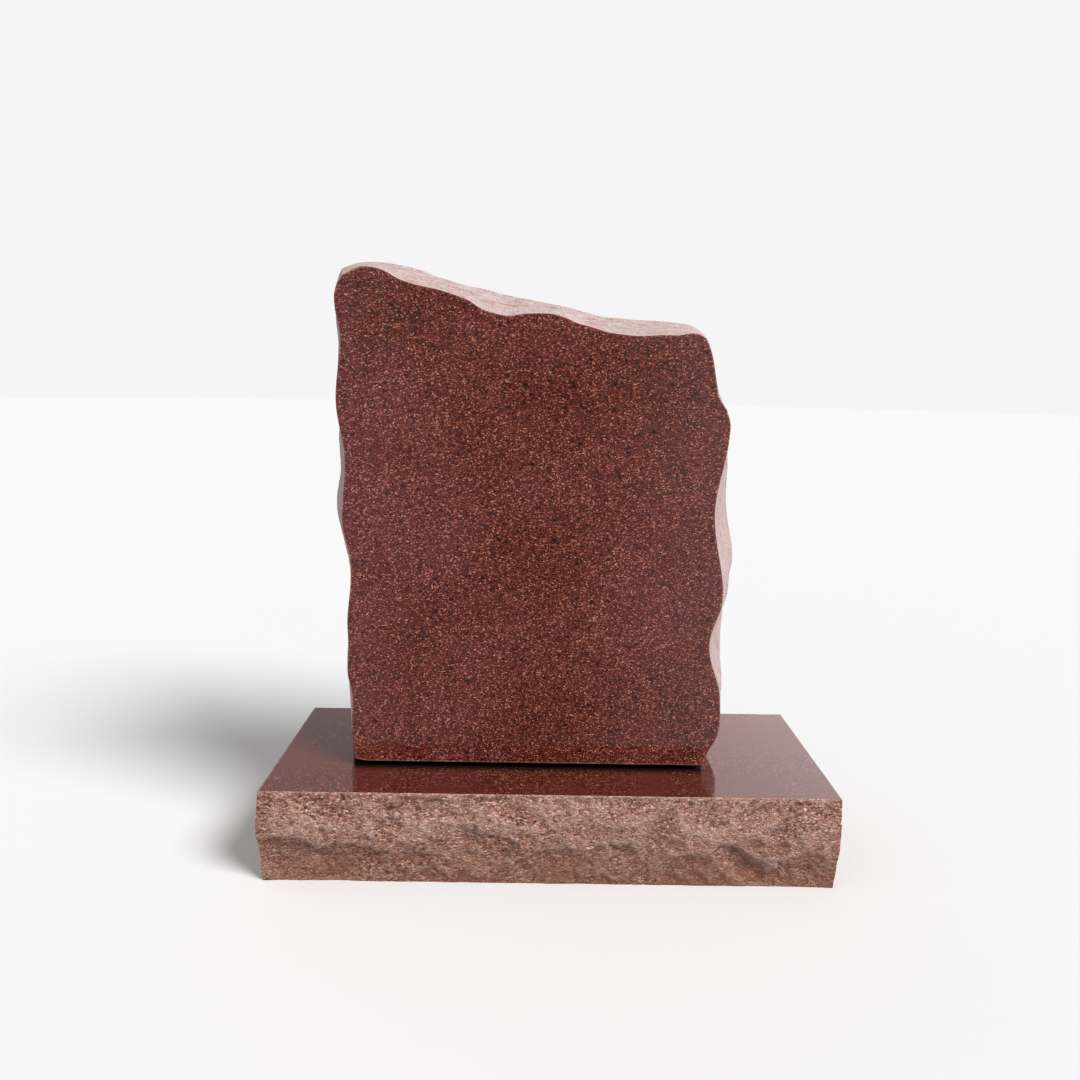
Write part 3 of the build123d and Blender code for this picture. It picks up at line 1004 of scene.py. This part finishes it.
@dataclass
class Base:
    """The base: a polished top, four rock-pitched sides and a sawn underside.

    Lengths are in metres, except those of the flakes and of the rock's grain.
    """

    node: str = "base"
    name: str = "granite_base"
    spacing: float = 0.0024
    rows: int = 64
    proud_sides: float = 0.009
    proud_ends: float = 0.0035
    tuck: float = 0.003
    crest_share: float = 0.62
    corner_share: float = 0.5
    corner_reach: float = 0.014
    arris: float = 0.0009
    arris_wander: Roughness = Roughness(0.9, 0.02, 3, 71)
    arris_bruise: float = 0.004
    fade_top: float = 0.012
    fade_foot: float = 0.010
    fade_corner: float = 0.03
    ridge: float = 0.0011
    hump: float = 0.0032
    # How far out from the tablet's foot the painted shade on the polished top reaches.
    painted_shade_reach: float = 0.012
    large: Strewing = Strewing(42.0, (40.0, 80.0), (4.0, 11.0), (0.45, 0.8), 100)
    middling: Strewing = Strewing(7.0, (12.0, 34.0), (1.2, 4.2), (0.35, 0.75), 110)
    small: Strewing = Strewing(1.4, (4.0, 11.0), (0.5, 2.0), (0.4, 0.9), 120)
    bend_along: Roughness = Roughness(7.0, 0.05, 3, 141)
    bend_up: Roughness = Roughness(6.0, 0.04, 3, 151)
    swell: Roughness = Roughness(1.8, (0.06, 0.06, 0.045), 3, 161)
    grain: Roughness = Roughness(1.5, (0.018, 0.018, 0.016), 2, 131)
    fine_grain: Roughness = Roughness(1.3, 0.0065, 2, 137)
    crease: float = 32.0

    def build(self, materials: list[bpy.types.Material], foot: np.ndarray) -> bpy.types.Object:
        """Makes the base as one closed surface, from the middle of its underside to that of its top.

        Args:
            materials: Top, pitched rock and underside.
            foot: The tablet's four foot corners, X and Y, from the front left one to the
                front right one and on round.

        Returns:
            The base.
        """
        low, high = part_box(self.node)
        half_x, half_y = high.x - self.proud_ends, high.y - self.proud_sides
        tall = high.z - low.z
        corners = np.array([(-half_x, -half_y), (half_x, -half_y), (half_x, half_y), (-half_x, half_y)])
        height = np.linspace(0.0, tall - self.arris * 0.8, self.rows)
        plans, ways, reliefs, alongs, wear_and_shade_rows = [], [], [], [], []
        gone = 0.0
        for number, (start, end) in enumerate(zip(corners, np.roll(corners, -1, axis=0))):
            length = float(np.linalg.norm(end - start))
            share = np.arange(int(length / self.spacing)) / int(length / self.spacing)
            plans.append(start + (end - start) * share[:, None])
            ways.append(self._turned(share * length, length, number))
            reliefs.append(self._relief(number, share * length, height, length, plans[-1]))
            wear_and_shade_rows.append(self._wear_and_shade(number, reliefs[-1], share * length, height, length))
            alongs.append(gone + share * length)
            gone += length
        plan, way, along = np.concatenate(plans), np.concatenate(ways), np.concatenate(alongs)
        relief, wear_and_shade = np.concatenate(reliefs, axis=1), np.concatenate(wear_and_shade_rows, axis=1)

        def level(points: np.ndarray, up: float) -> np.ndarray:
            """Lays plan points at one height."""
            return np.concatenate([points, np.full((len(points), 1), up)], axis=1)

        piece = Rings(self.name)
        place = np.stack([along, 0 * along], axis=-1)
        under = level(plan + way * relief[0][:, None], low.z)
        for scale in (0.4, 0.8, 0.98):
            piece.add(under * [scale, scale, 1.0], place, 0.0, Band.SAWN)
        piece.add(under, place, 0.4, Band.SAWN)
        inset = self.arris * (1.0 + self.arris_wander.over(level(plan, high.z)))
        for number in range(1, self.rows):
            ring = level(plan + way * relief[number][:, None], height[number])
            if number == self.rows - 1:
                ring[:, 2] = high.z - inset * 0.8
            wear_and_shade_here = np.maximum(wear_and_shade[number], max(0.0, 1.0 - (tall - height[number]) / self.arris_bruise))
            piece.add(ring, place + [0.0, height[number]], wear_and_shade_here, Band.STRUCK)
        polish = level(plan - way * inset[:, None], high.z)
        piece.add(polish, place, 0.6, Band.STRUCK)
        piece.add(polish * [0.995, 0.995, 1.0], place, 0.0, Band.POLISHED)
        # Rings round the tablet's foot paint shade on the top: full under the foot, -0.7 three millimetres
        # out, nothing at the reach out from its faces; at the ends it spreads at most a millimetre.
        onward = np.roll(foot, -1, axis=0)
        shares = [np.arange(len(part))[:, None] / len(part) for part in plans]
        print_plan = np.concatenate([foot[n] + (onward[n] - foot[n]) * shares[n] for n in range(4)])
        middle = foot.mean(axis=0)
        half = np.abs(foot - middle).max(axis=0)
        for grown, painted_shade in ((self.painted_shade_reach, 0.0), (0.003, -0.7), (-0.002, -1.0), (-0.06, -1.0)):
            wide = np.array([min(grown, 0.001), grown])
            ring = middle + (print_plan - middle) * (1.0 + wide / half)
            piece.add(level(ring, high.z), place, painted_shade, Band.POLISHED)
        return piece.build(materials, Band.POLISHED, self.crease)

    def _turned(self, at: np.ndarray, length: float, number: int) -> np.ndarray:
        """The way out of one side, turning towards its neighbour's way close to each corner.

        Args:
            at: The way along the side.
            length: The side's length.
            number: Which side, with the front as 0.

        Returns:
            Vectors of shape (len(at), 2).
        """
        outs = np.array([(0.0, -1.0), (1.0, 0.0), (0.0, 1.0), (-1.0, 0.0)])
        before, own, after = (outs[(number + step) % 4] for step in (-1, 0, 1))
        first = 1.0 - smooth(at / self.corner_reach)
        last = 1.0 - smooth((length - at) / self.corner_reach)
        return own + before * first[:, None] + after * last[:, None]

    def _relief(
        self, number: int, at: np.ndarray, height: np.ndarray, length: float, plan: np.ndarray
    ) -> np.ndarray:
        """How far the pitched rock stands out of the arris line.

        It is a crown that rises from a tuck at the underside to its crest and falls back to the
        arris, less large, middling and small flakes, with broken grain on top. The flakes die
        out at the arris, and near a corner only half of the crown is left.

        Args:
            number: Which side, with the front as 0.
            at: The way along the side, in metres.
            height: The heights of the rows, in metres.
            length: The side's length, in metres.
            plan: The side's points on the arris line.

        Returns:
            Metres of shape (rows, columns).
        """
        low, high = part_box(self.node)
        tall = high.z - low.z
        proud = self.proud_ends if number % 2 else self.proud_sides
        cut_share = 0.55 if number % 2 else 1.0
        share = height[:, None] / tall * np.ones(len(at))
        rise = np.sin(np.pi / 2 * np.clip(share / self.crest_share, 0, 1))
        fall = np.cos(np.pi / 2 * np.clip((share - self.crest_share) / (1 - self.crest_share), 0, 1))
        crown = np.where(share < self.crest_share, -self.tuck + (proud + self.tuck) * rise, proud * fall)
        level = [line * np.ones(share.shape) for line in (plan[:, 0], plan[:, 1], height[:, None])]
        points = np.stack(level, axis=-1)
        size = (length / MM, tall / MM)
        along = at / MM + self.bend_along.over(points)
        up = height[:, None] / MM + self.bend_up.over(points)
        front = self._placed(FRONT_FLAKES, size[0])
        cut = struck(along, up, self.large.over(*size, number) if number else front)
        cut = cut + struck(along, up, self.middling.over(*size, number))
        cut = cut + struck(along, up, self.small.over(*size, number))
        grain = self.grain.over(points) + self.fine_grain.over(points)
        top = smooth((1.0 - share) * tall / self.fade_top)
        foot = smooth(share * tall / self.fade_foot)
        close = smooth(np.minimum(at, length - at) / self.fade_corner)
        held = self.corner_share + (1 - self.corner_share) * close
        rough = (grain + self.swell.over(points) - cut * cut_share) * (0.35 + 0.65 * close) * MM
        return crown * held + rough * top * (0.3 + 0.7 * foot)

    def _placed(self, flakes: list[Flake], length: float) -> list[Flake]:
        """The same flakes, measured from the side's start and not from its middle."""
        return [replace(flake, along=flake.along + length / 2) for flake in flakes]

    def _wear_and_shade(
        self, number: int, relief: np.ndarray, at: np.ndarray, height: np.ndarray, length: float
    ) -> np.ndarray:
        """How pale or dark each point of a side is, from -1 to 1.

        A point that stands out further than the mean of its neighbourhood is pale with crushed
        stone, one that lies deeper gets painted shade, and the front has pale marks and painted
        shadows of its own.

        Args:
            number: Which side, with the front as 0.
            relief: The side's relief, in metres.
            at: The way along the side, in metres.
            height: The heights of the rows, in metres.
            length: The side's length, in metres.

        Returns:
            Values of shape (rows, columns).
        """
        wide, narrow = box_mean(relief, 9), box_mean(relief, 3)
        # Below the neighbourhood's mean the rock gets painted shade, above it pale crushed stone.
        wear_and_shade_here = (relief - narrow) / self.ridge + (narrow - wide) / self.hump
        if number == 0:
            along, up = at / MM * np.ones(relief.shape), height[:, None] / MM * np.ones(relief.shape)
            wear_and_shade_here = wear_and_shade_here + struck(along, up, self._placed(FRONT_PALE_MARKS, length / MM))
            # The front's painted shadows darken it further.
            wear_and_shade_here = wear_and_shade_here - struck(along, up, self._placed(FRONT_PAINTED_SHADOWS, length / MM))
        return np.clip(wear_and_shade_here, -1.0, 1.0)


# --- studio


@dataclass
class Studio:
    """The pale floor, the soft key lamp, the sky and the camera.

    Lengths are in metres, the camera's lens and sensor in millimetres, and angles in degrees:
    the camera is turned to the right of +Y, looks down and is rolled. The sky has one strength
    for the camera, two for soft light, with more of it on the left, and five for polish: from
    the front's left, its middle and its right, and from behind the stone on the left and right.
    """

    camera_place: tuple[float, float, float] = (-0.0295, -1.3256, 0.7896)
    heading: float = 0.314
    pitch: float = 11.129
    roll: float = 0.975
    lens: float = 26.935
    sensor: float = 36.0
    key_way: tuple[float, float, float] = (0.58, -0.40, 0.70)
    key_strength: float = 3.25
    key_angle: float = 24.0
    floor_radius: float = 30.0
    floor_colour: Colour = (0.845, 0.845, 0.845)
    backdrop: float = 0.913
    sky: float = 0.29
    ground: float = 0.22
    left_fill: float = 0.40
    mirrored_front_left: float = 0.75
    mirrored_front: float = 0.24
    mirrored_front_right: float = 1.34
    mirrored_left: float = 0.75
    mirrored_right: float = 2.6
    mirrored_tint: Colour = (1.0, 0.88, 0.90)

    def build(self) -> None:
        """Makes the floor, the lamp, the sky and the camera."""
        self._floor()
        self._key()
        self._sky()
        self._camera()
        bpy.context.scene.view_settings.view_transform = "Standard"

    def _floor(self) -> None:
        """A flat round floor, unseen by soft light and by polish, which take it from the sky."""
        turns = 96
        angle = np.linspace(0.0, 2 * np.pi, turns, endpoint=False)
        rim = np.stack([np.cos(angle), np.sin(angle), 0 * angle], axis=-1) * self.floor_radius
        mesh = bpy.data.meshes.new("studio_floor")
        here = np.arange(turns)
        fan = np.stack([np.full(turns, turns), here, (here + 1) % turns], axis=-1)
        mesh.from_pydata([*rim.tolist(), (0.0, 0.0, 0.0)], [], fan.tolist())
        material = bpy.data.materials.new("pale_floor")
        material.use_nodes = True
        shader = material.node_tree.nodes["Principled BSDF"]
        shader.inputs["Base Color"].default_value = (*self.floor_colour, 1.0)
        shader.inputs["Roughness"].default_value = 1.0
        shader.inputs["Specular IOR Level"].default_value = 0.0
        mesh.materials.append(material)
        floor = linked("studio_floor", mesh)
        floor.visible_diffuse = False
        floor.visible_glossy = False

    def _key(self) -> None:
        """A broad, soft, far-off lamp from the upper right."""
        data = bpy.data.lights.new("key_lamp", "SUN")
        data.energy = self.key_strength
        data.angle = math.radians(self.key_angle)
        lamp = linked("key_lamp", data)
        lamp.rotation_euler = Vector(self.key_way).to_track_quat("Z", "Y").to_euler()
        lamp.visible_glossy = False

    def _sky(self) -> None:
        """The sky: even for the camera, lighter above the horizon for soft light, and for
        polish dim in front of the stone and brighter behind it, most of all on the right."""
        world = bpy.data.worlds.new("studio_sky")
        world.use_nodes = True
        sheet = NodeSheet(world.node_tree)

        def between(share: Socket, first: object, second: object) -> Socket:
            """Adds a Mix node on two strengths and returns its output."""
            return sheet.node("ShaderNodeMix", {0: share, 2: first, 3: second}, data_type="FLOAT").outputs[0]

        around = sheet.node("ShaderNodeTexCoord").outputs["Generated"]
        way = sheet.node("ShaderNodeSeparateXYZ", {0: around}).outputs
        soft = sheet.spread(way[2], -0.15, 0.15, self.ground, self.sky)
        soft = sheet.maths("ADD", soft, sheet.spread(way[0], 0.0, -0.8, 0.0, self.left_fill))
        behind = sheet.spread(way[0], -0.15, 0.4, self.mirrored_left, self.mirrored_right)
        front = sheet.spread(way[0], -0.24, -0.05, self.mirrored_front_left, self.mirrored_front)
        more = self.mirrored_front_right - self.mirrored_front
        front = sheet.maths("ADD", front, sheet.spread(way[0], 0.05, 0.26, 0.0, more))
        gloss = between(sheet.spread(way[1], -0.1, 0.3, 0.0, 1.0), front, behind)
        path = sheet.node("ShaderNodeLightPath").outputs
        lit = between(path["Is Glossy Ray"], soft, gloss)
        seen = between(path["Is Camera Ray"], lit, self.backdrop)
        tint = sheet.mix(path["Is Glossy Ray"], (1.0, 1.0, 1.0, 1.0), (*self.mirrored_tint, 1.0))
        sky = sheet.node("ShaderNodeBackground", {"Color": tint, "Strength": seen})
        sheet.node("ShaderNodeOutputWorld", {"Surface": sky.outputs[0]})
        bpy.context.scene.world = world

    def _camera(self) -> None:
        """The camera: it looks along +Y, turned a little to the right, pitched down and rolled."""
        data = bpy.data.cameras.new("camera")
        data.sensor_width = self.sensor
        data.lens = self.lens
        camera = linked("camera", data)
        turned = Matrix.Rotation(math.radians(-self.heading), 4, "Z")
        pitched = Matrix.Rotation(math.radians(90.0 - self.pitch), 4, "X")
        rolled = Matrix.Rotation(math.radians(self.roll), 4, "Z")
        camera.matrix_world = Matrix.Translation(self.camera_place) @ turned @ pitched @ rolled
        bpy.context.scene.camera = camera


# --- main


def main() -> None:
    """Builds the tablet, the base and the studio, and says what each piece holds."""
    logging.basicConfig(level=logging.INFO, format="%(name)s: %(message)s")
    grain, bruise_and_shade = grain_group(), bruise_and_shade_group()
    face, top, dressed, pitched, sawn = (
        finish.build(grain, bruise_and_shade) for finish in (FACE_POLISH, TOP_POLISH, DRESSED, PITCHED, SAWN)
    )
    stone = Tablet()
    tablet = stone.build([face, dressed, sawn])
    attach(tablet, "root")
    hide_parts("tablet")
    base = Base().build([top, pitched, sawn], stone.foot_corners())
    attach(base, "root")
    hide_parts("base")
    for piece in (tablet, base):
        triangles = sum(len(face.vertices) - 2 for face in piece.data.polygons)
        log.info("%s: %d points, %d triangles", piece.name, len(piece.data.vertices), triangles)
    Studio().build()


if __name__ == "__main__":
    main()
